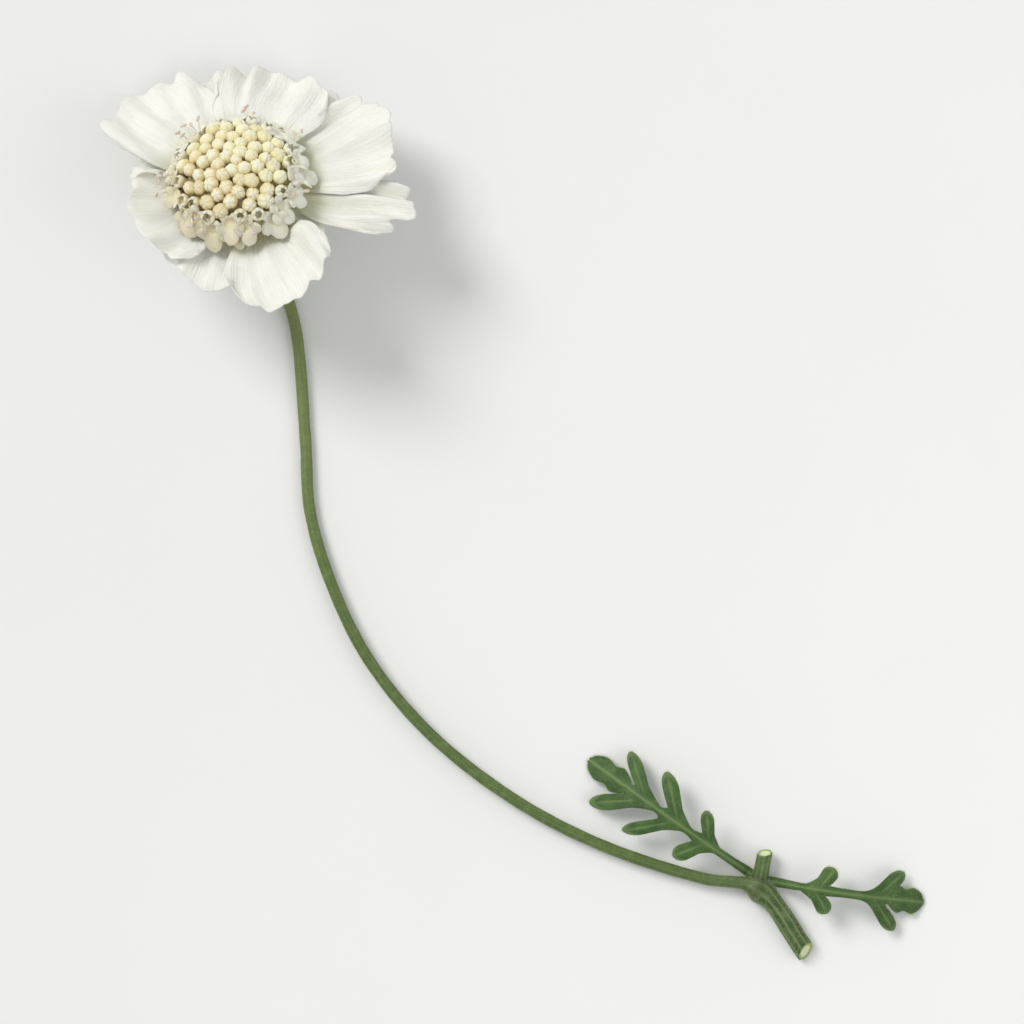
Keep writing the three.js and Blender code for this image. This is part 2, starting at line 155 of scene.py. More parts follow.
# Stalk. The route of its middle is x, y and height, with x and y counted from the bloom's centre.
NECK_STRAIGHT = 2.2
STALK_ROUTE = [
    (3.9, -9.6, 2.9),
    (6.0, -14.5, 1.6),
    (8.0, -21.0, 1.2),
    (9.6, -39.0, 1.0),
    (10.4, -51.0, 1.2),
    (14.0, -63.0, 1.6),
    (20.0, -75.0, 2.0),
    (30.0, -87.0, 2.3),
    (44.0, -97.8, 2.2),
    (58.0, -105.0, 1.9),
    (74.0, -110.2, 1.9),
]
JOINT = (82.8, -111.8, 2.15)
CUT_END = (90.5, -122.0, 1.65)
STUMP_END = (83.9, -106.0, 2.6)
STALK_RADIUS = 0.95
NECK_FLARE = 0.25
JOINT_SWELLING = 0.85
MAIN_STEM_RADIUS = 1.55
STUMP_RADIUS = 1.15
CUT_SLANT = 0.7
STUMP_SLANT = 0.45
CUT_TURN = radians(55)
CUT_REACH = 3.0
CUT_FACE = [(0.94, -0.03), (0.82, 0.02), (0.6, 0.08), (0.35, 0.1), (0.12, 0.12)]
STALK_STEPS = 460
STALK_SIDES = 48
STUMP_STEPS = 30
RIBS = 8

# Leaves: node, bearing and distance from the joint, azimuth, length, rise, pairs and length of lobes.
LEAF_CLEARANCE = 0.05
LEAF_FOOT_HEIGHT = 1.3
LEAF_DROOP = 0.12
LEAF_BODY = 0.7
LEAF_STEPS = 10
LOBE_HALF_WIDTH = 1.15
LOBE_OUTLINE = [(0.3, 0.75), (0.62, 1.1), (0.86, 0.85), (1.0, 0.1), (0.9, -0.7), (0.64, -1.0), (0.3, -0.75)]
RIB_HALF_WIDTH = 0.8
RIB_SHARE = 0.3
LEAF_END = [(0.77, 1.3), (0.825, 2.2), (0.87, 1.75), (0.92, 2.1), (0.955, 1.8), (0.985, 1.15), (1.0, 0.1)]
LEAVES = [
    ("leaf_left", (122, 3.35), 145, 31, 5.2, 3, 7.0),
    ("leaf_right", (18, 3.2), -8, 24, 4.4, 2, 5.4),
]


# Numbers and curves

def noise_source(seed):
    """Repeatable random numbers between -1 and 1."""
    state = seed

    def draw():
        nonlocal state
        state = (state * 1664525 + 1013904223) % 2**32
        return state / 2**32 * 2 - 1

    return draw


def ease(low, high, value):
    share = np.clip((value - low) / (high - low), 0, 1)
    return share * share * (3 - 2 * share)


def mix(low, high, share):
    return low + (high - low) * share


def bell(value, width):
    return np.exp(-((value / width) ** 2))


def heading(angle):
    return np.array([cos(angle), sin(angle), 0])


def round_angles(count):
    return np.linspace(0, 2 * pi, count, endpoint=False)


def stacked(*values):
    """Puts values side by side along a new last axis."""
    return np.stack(np.broadcast_arrays(*values), -1)


def padded(values):
    """Values with one more at each end, in line with the last two there."""
    return np.concatenate([2 * values[:1] - values[1:2], values, 2 * values[-1:] - values[-2:-1]])


def cubic(here, there, start, end, share):
    """A smooth way from here to there with these slopes at its start and end."""
    bend = -3 * here + 3 * there - 2 * start - end
    twist = 2 * here - 2 * there + start + end
    return here + share * (start + share * (bend + share * twist))


def through(values, places):
    """A smooth line through evenly spaced values, read at places counted in their spacing."""
    values = np.asarray(values, float)
    places = np.asarray(places, float)
    index = np.clip(np.floor(places).astype(int), 0, len(values) - 2)
    share = places - index
    if values.ndim > 1:
        share = share[..., None]
    longer = padded(values)
    before, here, there, beyond = (longer[index + step] for step in range(4))
    return cubic(here, there, (there - before) / 2, (beyond - here) / 2, share)


def spread_through(values, count):
    return through(values, np.linspace(0, len(values) - 1, count))


def unit(vectors):
    return vectors / np.maximum(np.linalg.norm(vectors, axis=-1, keepdims=True), 1e-12)


def centripetal(points, steps):
    """Evenly spaced points along a centripetal Catmull-Rom curve."""
    points = np.asarray(points, float)
    longer = padded(points)
    gaps = np.linalg.norm(np.diff(longer, axis=0), axis=1) ** 0.5
    share = np.linspace(0, 1, CURVE_SAMPLES, endpoint=False)[:, None]
    pieces = []
    for index in range(len(points) - 1):
        before, here, there, beyond = longer[index:index + 4]
        first, middle, last = gaps[index:index + 3]
        start = (here - before) / first - (there - before) / (first + middle) + (there - here) / middle
        end = (there - here) / middle - (beyond - here) / (middle + last) + (beyond - there) / last
        pieces.append(cubic(here, there, start * middle, end * middle, share))
    dense = np.concatenate(pieces + [points[-1:]])
    length = np.concatenate([[0], np.cumsum(np.linalg.norm(np.diff(dense, axis=0), axis=1))])
    wanted = np.linspace(0, length[-1], steps + 1)
    return stacked(*(np.interp(wanted, length, dense[:, axis]) for axis in range(3)))


def frames_along(path):
    """Tangents of a path, and two sideways directions that follow it without twisting."""
    tangents = unit(np.gradient(path, axis=0))
    side = np.cross(tangents[0], [0, 0, 1])
    if np.linalg.norm(side) < 0.1:
        side = np.cross(tangents[0], [0, 1, 0])
    sides = []
    for tangent in tangents:
        side = unit(side - tangent * np.dot(side, tangent))
        sides.append(side)
    sides = np.array(sides)
    return tangents, sides, np.cross(tangents, sides)


def circles(side, other, angle):
    """A circle of directions for each pair of sideways directions."""
    return side[:, None] * np.cos(angle)[:, None] + other[:, None] * np.sin(angle)[:, None]


def lifted(points, least):
    """Raises the points that are lower than a least height."""
    points[..., 2] = np.maximum(points[..., 2], least)
    return points


# Meshes

def grid_quads(rows, columns, wrap=False):
    """The quads between rows by columns of points. wrap joins the last column to the first."""
    row, column = np.indices((rows - 1, columns if wrap else columns - 1))
    beside = (column + 1) % columns
    low = row * columns
    high = low + columns
    return stacked(low + column, low + beside, high + beside, high + column).reshape(-1, 4)


def surface_normals(points):
    along, across = np.gradient(points, axis=(0, 1))
    return unit(np.cross(along, across))


def sheet(points, thickness):
    """A thin closed sheet with a grid of points as its middle surface."""
    rows, columns, _ = points.shape
    offset = surface_normals(points) * (np.broadcast_to(thickness, (rows, columns)) / 2)[..., None]
    both = np.concatenate([(points + offset).reshape(-1, 3), (points - offset).reshape(-1, 3)])
    count = rows * columns
    quads = grid_quads(rows, columns)
    index = np.arange(count).reshape(rows, columns)
    rim = np.concatenate([index[0, :-1], index[:-1, -1], index[-1, :0:-1], index[:0:-1, 0]])
    beside = np.roll(rim, -1)
    side = stacked(rim, beside, beside + count, rim + count)
    return both, np.concatenate([quads[:, ::-1], quads + count, side]), np.empty((0, 3), int)


def tube(rings):
    """A closed skin over rings of points, with each end filled to its middle."""
    steps, sides, _ = rings.shape
    points = np.concatenate([rings.reshape(-1, 3), rings[[0, -1]].mean(axis=1)])
    first = np.arange(sides)
    beside = (first + 1) % sides
    last = (steps - 1) * sides
    start = np.full(sides, steps * sides)
    caps = [stacked(start, beside, first), stacked(start + 1, last + first, last + beside)]
    return points, grid_quads(steps, sides, wrap=True), np.concatenate(caps)


class Pile:
    """Closed meshes gathered for one piece, in millimetres, with named values at their points."""

    def __init__(self, *names):
        self.points = []
        self.quads = []
        self.triangles = []
        self.values = {name: [] for name in names}
        self.count = 0

    def add(self, mesh, **values):
        points, quads, triangles = mesh
        self.points.append(points)
        self.quads.append(quads + self.count)
        self.triangles.append(triangles + self.count)
        self.count += len(points)
        for name, held in self.values.items():
            given = np.asarray(values.get(name, 0.0), float).ravel()
            held.append(np.resize(given, len(points)))


def add_object(name, data):
    thing = bpy.data.objects.new(name, data)
    bpy.context.scene.collection.objects.link(thing)
    return thing


def add_piece(name, pile, paint, nodes=()):
    """Makes one object of a pile. It rides on the part's one body."""
    faces = np.concatenate(pile.quads).tolist() + np.concatenate(pile.triangles).tolist()
    mesh = bpy.data.meshes.new(name)
    mesh.from_pydata(np.concatenate(pile.points) * MM, [], faces, shade_flat=False)
    for value_name, held in pile.values.items():
        attribute = mesh.attributes.new(value_name, "FLOAT", "POINT")
        attribute.data.foreach_set("value", np.concatenate(held).astype(np.float32))
    mesh.materials.append(paint.material)
    piece = add_object(name, mesh)
    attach(piece, "root")
    if nodes:
        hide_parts(*nodes)


def round_rings(radius, height, angle):
    """Rings of points about the +Z axis."""
    return stacked(radius * np.cos(angle), radius * np.sin(angle), height)


def turned(profile, angle, rows_between=6):
    """Rings about the +Z axis, from a smooth line through points of radius and height."""
    line = spread_through(profile, (len(profile) - 1) * rows_between + 1)[1:-1]
    return round_rings(np.maximum(line[:, :1], LEAST_RADIUS), line[:, 1:], angle)


def on_blade(points, row, column):
    """Places on a grid of points, with their normals and their directions away from its middle."""
    roots = points[row, column]
    outward = unit(roots - points[row, points.shape[1] // 2] + 1e-6)
    return roots, surface_normals(points)[row, column], outward


def hairs(roots, directions, lengths, sag, radius=HAIR_RADIUS):
    """Fine tapered hairs, one at each root, that bend by sag as they grow."""
    shares = np.array([0.0, 0.4, 0.8, 1.0])
    widths = np.array([1.0, 0.8, 0.45, 0.06])
    side = unit(np.cross(directions, [[0.31, 0.64, 0.70]]))
    other = np.cross(directions, side)
    middle = roots[:, None] + directions[:, None] * (lengths[:, None] * shares)[..., None]
    middle += sag[:, None] * (shares**2)[:, None]
    ring = circles(side, other, np.radians([0, 120, 240]))
    points = middle[:, :, None] + ring[:, None] * (radius * widths)[:, None, None]
    base = np.arange(len(roots))[:, None, None] * 12
    quads = (grid_quads(4, 3, wrap=True) + base).reshape(-1, 4)
    caps = (np.array([[0, 2, 1], [9, 10, 11]]) + base).reshape(-1, 3)
    return points.reshape(-1, 3), quads, caps


# The bloom's frame

hinge_direction = radians(HEAD_LEAN_DIRECTION)
HEAD_HINGE = Vector((-sin(hinge_direction), cos(hinge_direction), 0))
HEAD_TURN = np.array(Quaternion(HEAD_HINGE, radians(HEAD_LEAN)).to_matrix())


def placed(points):
    """Moves points from the bloom's frame to their place."""
    return points @ HEAD_TURN.T + HEAD_CENTRE


def in_bloom(mesh):
    """Moves a mesh from the bloom's frame to its place, and lays what would sink on the surface."""
    points, quads, triangles = mesh
    return lifted(placed(points), LEAST_BLOOM_HEIGHT), quads, triangles


def laid(points, rest):
    """Moves a thin sheet's middle points to their place, and none below the height they rest at."""
    spots = placed(points)
    above = spots[..., 2] - rest
    spots[..., 2] = rest + (above + np.sqrt(above**2 + LAID_SOFTNESS**2)) / 2
    return spots


def about_axis(points, degrees):
    angle = radians(degrees)
    turn = np.array([
        [cos(angle), -sin(angle), 0],
        [sin(angle), cos(angle), 0],
        [0, 0, 1],
    ])
    return points @ turn.T


# Ray florets

def lip_edge(noise, across):
    """The lip's outer edge as a share of its length: rounded, and split in three uneven lobes."""
    side = np.abs(across)
    split = LOBE_SPLIT + 0.06 * noise() * np.sign(across)
    middle_lobe = np.cos(side / split * pi / 2)
    side_lobe = np.sin((side - split) / (1 - split) * pi)
    lobes = np.sqrt(np.clip(np.where(side < split, middle_lobe, side_lobe), 0, 1))
    cleft = LOBE_CLEFT * (1 + 0.4 * noise() + 0.3 * noise() * np.sign(across))
    return 1 - SIDE_FALL * side**2 - CORNER_FALL * side**7 - cleft * (1 - lobes)


def between_rays(azimuth, values):
    """A value of each ray floret, eased from one to the next, at an azimuth in degrees."""
    centres = np.array([ray[0] for ray in RAYS] + [RAYS[0][0] + 360], float)
    values = np.array(values + values[:1], float)
    turned_to = (azimuth - centres[0]) % 360 + centres[0]
    index = np.clip(np.searchsorted(centres, turned_to, side="right") - 1, 0, len(RAYS) - 1)
    share = ease(centres[index], centres[index + 1], turned_to)
    return mix(values[index], values[index + 1], share)


def ruff_rise(azimuth, radius):
    """How far the ruff turns up or down at a place. All lips share it, so they keep their order."""
    reach = between_rays(azimuth, [ray[1] for ray in RAYS])
    end = between_rays(azimuth, [ray[3] for ray in RAYS])
    return end * ease(0.35, 1.0, (radius - RAY_ROOT) / (reach - RAY_ROOT)) ** 1.3


def ruff_waves(azimuth, radius):
    """Waves that neighbouring lips share, so that they lie on each other and don't cross."""
    angle = np.radians(azimuth)
    bent = angle + 0.12 * np.sin(3 * angle + 1) + 0.04 * np.sin(8 * angle)
    outer = ease(9, 24, radius)
    broad, ruff, fine = (
        height * np.sin(count * bent + phase + turn * radius)
        for height, count, phase, turn in (BROAD_WAVE, RUFF_WAVE, FINE_WAVE)
    )
    return outer * (broad + ruff + outer * fine)


def own_folds(noise, across, along, level):
    """Folds that run out along one lip, and the curl of its own margin, away from its neighbours."""
    drift = 1.5 * noise() * along
    folds = np.sin(9 * across + 3 * noise() + drift) + 0.6 * np.sin(16 * across + 3 * noise() - drift)
    curl = np.sin(2.6 * pi * across + 3 * noise()) + 0.5 * np.sin(6.1 * pi * across + 3 * noise())
    curl = copysign(0.5, level) * (curl + 1.5)
    crinkle = np.sin(31 * across + 4 * drift + 2 * np.sin(5 * along)) * np.cos(5 * across + 9 * along)
    inner = mix(0.35, 1.0, ease(1.0, 0.7, np.abs(across)))
    height = FOLD_HEIGHT * folds * ease(0.12, 0.7, along)
    height += CRINKLE_HEIGHT * crinkle * ease(0.3, 0.8, along)
    return inner * (height + MARGIN_CURL * curl * ease(0.66, 1.1, along) ** 2)


def lip_teeth(phase, across):
    """Rounded teeth with narrow notches between them, as a share of the lip's length."""
    broad = (1 - np.abs(np.sin(9.5 * across + phase))) ** 2
    narrow = (1 - np.abs(np.sin(21 * across + 2 * phase))) ** 2
    return -TOOTH_DEPTH * (broad + 0.45 * narrow)


def ray_lip(index, ray):
    azimuth, reach, width, _, roll, level = ray
    noise = noise_source(41 + index * 17)
    phase = noise() * pi
    frill = [1 + FRILL * noise() for _ in range(RAY_COLUMNS + 1)]
    length = reach - RAY_ROOT
    half_angle = asin(min(0.8, width / (LIP_BREADTH * length)))
    across = np.linspace(-1, 1, LIP_COLUMNS + 1)[None, :]
    along = np.linspace(CLAW_SHARE, 1, LIP_ROWS + 1)[:, None]
    edge = lip_edge(noise, across) * through(frill, (across + 1) / 2 * RAY_COLUMNS)
    edge += lip_teeth(phase, across)
    radius = length * along * mix(1, edge, along)
    broad = 1 + BASE_SPREAD * (1 - along) * ease(CLAW_SHARE - 0.1, 0.3, along)
    broad += END_SPREAD * ease(0.5, 0.95, along)
    broad = broad + SIDE_WOBBLE * np.sin(6 * along + phase + across) * ease(0.3, 0.6, along)
    outward = RAY_ROOT + radius * np.cos(across * half_angle)
    sideways = radius * np.sin(across * half_angle) * broad
    here = azimuth + np.degrees(np.arctan2(sideways, outward))
    height = level * ease(0.1, 0.5, along) - LIP_DROP
    from_axis = np.hypot(outward, sideways)
    height = height + ruff_rise(here, from_axis) + roll * sideways * ease(0.35, 1.0, along)
    height = height + ruff_waves(here, from_axis) + own_folds(noise, across, along, level)
    points = about_axis(stacked(outward, sideways, height), azimuth)
    margin = np.minimum(1 - np.abs(across), 1 - along) * 12
    thickness = mix(LIP_EDGE_THICKNESS, LIP_THICKNESS, ease(0, 1, margin))
    rest = LAID_HEIGHT + LAID_STEP * max(0, level - LOWEST_LAID_LEVEL)
    return sheet(laid(points, rest), thickness), *np.broadcast_arrays(across, along)


def ray_tube(ray):
    """The narrow tube that carries a lip, seen from behind between the bracts."""
    azimuth, level = ray[0], ray[5]
    share = np.linspace(0, 1, 14)[:, None]
    angle = round_angles(16)
    closing = np.sqrt(np.clip(1.02 - share**6, 0, 1))
    width = mix(*TUBE_HALF_WIDTH, share**1.5) * closing
    depth = mix(*TUBE_HALF_DEPTH, share) * closing
    outward = mix(*TUBE_REACH, share)
    upward = mix(*TUBE_HEIGHT, share) + 0.8 * level * share + depth * np.sin(angle)
    return tube(about_axis(stacked(outward, width * np.cos(angle), upward), azimuth))


def build_ray_florets():
    pile = Pile("across", "along", "lip")
    for index, ray in enumerate(RAYS):
        mesh, across, along = ray_lip(index, ray)
        pile.add(mesh, across=across, along=along, lip=index)
        pile.add(in_bloom(ray_tube(ray)), across=0.03, along=0.25, lip=index)
    add_piece("ray_florets_fine", pile, petal_paint(), ["ray_florets"])


# Disc florets. Their profiles are pairs of height and radius.

# The side of the cushion toward which the florets are painted darker and browner: painted shade.
PAINTED_SHADE_SIDE = np.array([-0.66, -0.75, 0])
BUD_PROFILE = [
    (-2.6, 0.55), (-1.7, 0.58), (-1.0, 0.8), (-0.4, 1.16), (0.05, 1.27), (0.45, 1.16),
    (0.78, 0.86), (0.98, 0.45), (1.05, 0.03),
]
HALF_OPEN_PROFILE = [
    (-2.8, 0.5), (-1.6, 0.56), (-0.7, 0.8), (0.0, 1.1), (0.5, 1.2), (0.95, 1.0), (1.2, 0.62),
]
OPEN_PROFILE = [
    (-2.8, 0.5), (-1.6, 0.56), (-0.7, 0.72), (-0.1, 0.92), (0.35, 1.2), (0.6, 1.6), (0.5, 2.05),
]
FLORET_ROWS = 22
BUD_SIDES = 30
OPEN_SIDES = 45
LOBE_THICKNESS = 0.14


def floret_polar(share):
    """Angle from the cushion's middle of a floret, for florets closest together in the middle."""
    polar = np.linspace(0, radians(CUSHION_EDGE_ANGLE), 200)
    slope = np.hypot(CUSHION_RADIUS * np.cos(polar), CUSHION_RISE * np.sin(polar))
    spacing = mix(MIDDLE_SPACING, RIM_SPACING, polar / polar[-1])
    filled = np.cumsum(np.sin(polar) * slope / spacing**2)
    return np.interp(share**2, filled / filled[-1], polar)


def floret_places():
    """Each disc floret's number, base, axis, share of the way to the rim, spin and size."""
    noise = noise_source(7)
    for index in range(DISC_FLORETS):
        share = sqrt((index + 0.5) / DISC_FLORETS)
        polar = float(floret_polar(share)) * (1 + 0.03 * noise())
        azimuth = index * GOLDEN_ANGLE + 0.05 * noise()
        out = heading(azimuth)
        base = out * CUSHION_RADIUS * sin(polar)
        base[2] = CUSHION_BASE + CUSHION_RISE * cos(polar) + 0.22 * noise()
        facing = polar * mix(1.0, 0.68, ease(0.6, 1.0, share))
        axis = out * sin(facing)
        axis[2] = cos(facing)
        spin = noise() * pi
        size = 1 + 0.1 * noise()
        yield index, base, axis, share, spin, size


def turn_to(axis):
    return Vector((0, 0, 1)).rotation_difference(Vector(axis)).to_matrix()


def stand(points, base, axis):
    """Turns points from the +Z axis to a floret's own axis, and moves them to its base."""
    return points @ np.array(turn_to(axis)).T + base


def bud_rings(spin, size, stretch):
    """A closed floret: a narrow tube that swells into a bead, with five seams over its tip."""
    line = spread_through(BUD_PROFILE, FLORET_ROWS)
    height = line[:, :1]
    angle = round_angles(BUD_SIDES)
    seam = bell(np.sin(2.5 * angle + spin), 0.32)
    groove = 0.2 * seam * ease(-0.7, 0.6, height)
    bulge = 1 + 0.05 * np.cos(2 * angle + spin * 3) + 0.04 * np.cos(angle + spin * 5)
    radius = np.maximum(line[:, 1:], LEAST_RADIUS) * size * (1 - groove) * bulge
    tip = height * (1 + stretch * ease(-1, 1, height)) - 0.16 * seam * ease(0.4, 1.0, height)
    return round_rings(radius, tip, angle)


def open_rings(spin, size, facing, openness):
    """A floret whose five lobes stand together, or spread, the longest where they face outward."""
    profile = mix(np.array(HALF_OPEN_PROFILE), np.array(OPEN_PROFILE), openness)
    line = spread_through(profile, FLORET_ROWS)
    share = np.linspace(0, 1, FLORET_ROWS)[:, None]
    angle = round_angles(OPEN_SIDES)
    spread = ease(0.55, 1.0, share)
    lobe = np.abs(np.cos(2.5 * (angle - facing) + 0.2 * spin)) ** 0.7
    outward = 0.5 + 0.5 * np.cos(angle - facing)
    ripple = 0.03 * openness * np.sin(17 * angle + spin)
    reach = 1 + spread * (mix(0.16, 0.6, openness) * (lobe - 0.6) + 0.95 * openness * outward**3 + ripple)
    radius = line[:, 1:] * size * reach
    curl = 0.3 * openness * lobe * np.sin(3 * angle + spin) - 0.4 * (1 - lobe) - 0.3 * openness * outward**2
    height = line[:, :1] + spread * curl
    outside = round_rings(radius, height, angle)
    inside = outside[:10:-1].copy()
    inside[..., :2] *= (1 - LOBE_THICKNESS / np.maximum(radius[:10:-1], 0.3))[..., None]
    inside[..., 2] += 0.13 * openness
    return np.concatenate([outside, inside])


def calyx_bristles(noise, base, axis):
    """The five bristles that stand round each floret's tube."""
    angle = np.radians(np.arange(5) * 72 + 60 * noise())
    out = round_rings(1, 0, angle)
    roots = out + [0, 0, -2.2]
    directions = unit(out * 0.16 + [0, 0, 1])
    lengths = BRISTLE_LENGTH + 0.25 * np.sin(7 * angle)
    points, quads, caps = hairs(roots, directions, lengths, 0.15 * out, BRISTLE_RADIUS)
    return stand(points, base, axis), quads, caps


def outward_angle(axis):
    """The direction, in a floret's own frame, that faces away from the bloom's middle."""
    out = turn_to(axis).transposed() @ Vector((axis[0], axis[1], 0))
    return atan2(out.y, out.x)


def core_rings():
    """The dome that the florets stand on, with their lower tubes side by side round it."""
    angle = round_angles(5 * CORE_TUBES)
    core = turned(CORE_PROFILE, angle, 3)
    core[..., :2] *= 1 + 0.06 * np.abs(np.sin(CORE_TUBES / 2 * angle))[None, :, None]
    return core


def build_disc_florets():
    pile = Pile("rise", "rim", "shade", "side")
    bristles = Pile()
    # The core takes the darker tan of the florets' low parts, which is partly painted shade.
    pile.add(in_bloom(tube(core_rings())), rise=-1.0, rim=0.4)
    for index, base, axis, share, spin, size in floret_places():
        noise = noise_source(211 + 7 * index)
        tilt = unit(axis + 0.12 * np.array([noise(), noise(), noise()]))
        if index < HALF_OPEN_FROM:
            rings = bud_rings(spin, size * mix(0.84, 1.04, share), 0.2 * noise())
        elif index < OPEN_FROM:
            rings = open_rings(spin, size * 0.92, outward_angle(tilt), 0.12 + 0.12 * noise())
        else:
            rings = open_rings(spin, size * 0.95, outward_angle(tilt), 0.8 + 0.2 * noise())
        mesh = in_bloom(tube(stand(rings, base, tilt)))
        # How far a floret lies toward the side with painted shade.
        side = np.dot(base, PAINTED_SHADE_SIDE) / CUSHION_RADIUS
        pile.add(mesh, rise=tube(rings)[0][:, 2], rim=share, shade=noise(), side=side)
        bristles.add(in_bloom(calyx_bristles(noise, base, axis)))
    add_piece("disc_florets_fine", pile, disc_paint(), ["disc_florets"])
    add_piece("calyx_bristles", bristles, bristle_paint())


def stamen_path(noise, facing, turn_share):
    """The middle line of a filament, in its floret's frame."""
    lean = facing + turn_share * 2 * pi + 0.3 * noise()
    out = heading(lean)
    height = 2.4 + 0.5 * noise()
    spread = 0.9 + 0.35 * noise()
    share = np.linspace(0, 1, 9)[:, None]
    path = out * (0.35 + spread * share**1.7)
    path[:, 2:] = mix(-0.4, height, share)
    return path


def build_stamens():
    threads = Pile("rise")
    anthers = Pile("shade")
    for index, base, axis, *_ in floret_places():
        if index < OPEN_FROM or index % 3:
            continue
        noise = noise_source(503 + 11 * index)
        facing = outward_angle(axis)
        for stamen in range(2 + index % 2):
            path = stamen_path(noise, facing, stamen / 4 + 0.125)
            tangents, side, other = frames_along(path)
            rings = path[:, None] + THREAD_RADIUS * circles(side, other, round_angles(10))
            threads.add(in_bloom(tube(stand(rings, base, axis))), rise=1)
            lie = unit(side[-1] * noise() + other[-1] * noise() + 0.35 * tangents[-1] * noise())
            anthers.add(in_bloom(tube(stand(anther_rings(path[-1], lie), base, axis))), shade=noise())
    add_piece("filaments", threads, thread_paint())
    add_piece("anthers", anthers, anther_paint())


def anther_rings(middle, lie):
    """A long anther with a groove, lying across the end of its filament."""
    share = np.linspace(-1, 1, 11)
    angle = round_angles(12)
    side = unit(np.cross(lie, [0.2, 0.3, 0.93]))
    other = np.cross(lie, side)
    radius = ANTHER_RADIUS * np.sqrt(np.clip(1.02 - np.abs(share) ** 3, 0, 1))
    groove = 1 - 0.3 * bell(np.sin(angle / 2 - 0.8), 0.3)
    circle = side * np.cos(angle)[:, None] + other * np.sin(angle)[:, None] * 0.8
    middles = middle + lie * (ANTHER_HALF_LENGTH * share)[:, None]
    return middles[:, None] + circle[None] * (radius[:, None] * groove[None, :])[..., None]


# Green cup and bracts

def bract_grid(index, reach, width, root_height, tip_height, turn):
    """The middle surface of a bract, keeled along its middle and drawn out to a point."""
    across = np.linspace(-1, 1, 9)[None, :]
    along = np.linspace(0, 1, 34)[:, None]
    half = (width / 2) * np.sin(pi * (0.3 + 0.7 * along)) ** 0.9 + 0.02
    outward = mix(BRACT_ROOT, reach, along) + 0 * across
    straight = mix(root_height, tip_height, along)
    curl = -0.5 * ease(0.75, 1.0, along) * (index % 3)
    height = straight - BRACT_SAG * np.sin(pi * along) + 0.35 * np.abs(across) + curl
    sideways = across * half + 0.25 * sin(index) * along**2
    points = about_axis(stacked(outward, sideways, height), turn)
    return points, along + 0 * across, across + 0 * along


def build_involucre():
    pile = Pile("along", "across")
    fuzz = Pile()
    draw = np.random.default_rng(11)
    angle = round_angles(6 * BRACTS)
    rings = turned(CUP_PROFILE, angle)
    rings[..., :2] *= 1 + 0.03 * np.cos(BRACTS * angle)[None, :, None]
    cup = tube(rings)
    depth = ease(-CUP_DEPTH, -1.0, cup[0][:, 2])
    pile.add(in_bloom(cup), along=0.25 * depth, across=0.6)
    for index in range(2 * BRACTS):
        noise = noise_source(101 + (index % BRACTS) * 13)
        reach = BRACT_REACH + 0.7 * noise()
        tip_height = BRACT_TIP_HEIGHT + 0.2 * noise()
        turn = (360 / BRACTS) * (index % BRACTS) + 5 * noise()
        width, root_height = BRACT_WIDTH, BRACT_ROOT_HEIGHT
        if index >= BRACTS:
            reach -= INNER_BRACT_SHORTER
            width, root_height = INNER_BRACT_WIDTH, INNER_BRACT_ROOT_HEIGHT
            tip_height += INNER_BRACT_LIFT
            turn += 180 / BRACTS
        points, along, across = bract_grid(index, reach, width, root_height, tip_height, turn)
        thickness = BRACT_THICKNESS * (1.15 - 0.5 * np.abs(across))
        pile.add(in_bloom(sheet(points, thickness)), along=along, across=across)
        fuzz.add(in_bloom(bract_hairs(draw, points)))
    add_piece("involucre_fine", pile, bract_paint(), ["involucre"])
    add_piece("bract_hairs", fuzz, hair_paint())


def bract_hairs(draw, points):
    """Hairs at the margins and on the underside of a bract."""
    rows, columns, _ = points.shape
    count = BRACT_HAIRS
    row = draw.integers(2, rows - 1, count)
    margin = draw.choice([0, columns - 1], count)
    column = np.where(draw.random(count) < 0.6, margin, draw.integers(0, columns, count))
    roots, normals, outward = on_blade(points, row, column)
    directions = unit(outward * 1.2 - normals * 0.8 + draw.normal(0, 0.35, (count, 3)))
    sag = draw.normal(0, 0.08, (count, 3))
    return hairs(roots - normals * 0.1, directions, draw.uniform(0.35, 0.8, count), sag)


# Stalk

def from_head(point):
    return point + HEAD_CENTRE * [1, 1, 0]


def stalk_path():
    down = HEAD_TURN @ np.array([0, 0, -1.0])
    top = HEAD_CENTRE + down * (CUP_DEPTH - 0.6)
    route = [top, top + down * (NECK_STRAIGHT + 0.9)]
    route += [from_head(point) for point in STALK_ROUTE + [JOINT, CUT_END]]
    return centripetal(route, STALK_STEPS)


def stalk_radius(path):
    share = np.linspace(0, 1, len(path))
    nearest = np.argmin(np.linalg.norm(path - from_head(JOINT), axis=1))
    to_joint = share[nearest]
    flare = NECK_FLARE * np.exp(-share * 60)
    swelling = JOINT_SWELLING * bell(share - to_joint, 0.011)
    below = ease(to_joint - 0.01, to_joint + 0.01, share)
    return mix(STALK_RADIUS, MAIN_STEM_RADIUS, below) + flare + swelling, share, to_joint


def stem_rings(path, radius, ribs, slant):
    """Rings of a ribbed stem. The last ones lean over to a slanting cut, which is filled inward."""
    tangents, side, other = frames_along(path)
    angle = round_angles(STALK_SIDES)
    ridge = bell(np.sin(RIBS / 2 * angle), 0.5)
    relief = 1 + ribs[:, None] * (ridge - 0.5)
    offset = circles(side, other, angle) * (radius[:, None] * relief)[..., None]
    to_cut = np.linalg.norm(path - path[-1], axis=1)
    shear = slant * radius * np.clip(1 - to_cut / CUT_REACH, 0, 1)
    lean = tangents[:, None] * (shear[:, None] * np.cos(angle - CUT_TURN))[..., None]
    rings = path[:, None] + offset + lean
    middle = path[-1]
    inner = [middle + (rings[-1] - middle) * share - tangents[-1] * dip for share, dip in CUT_FACE]
    return np.concatenate([rings, inner]), ridge


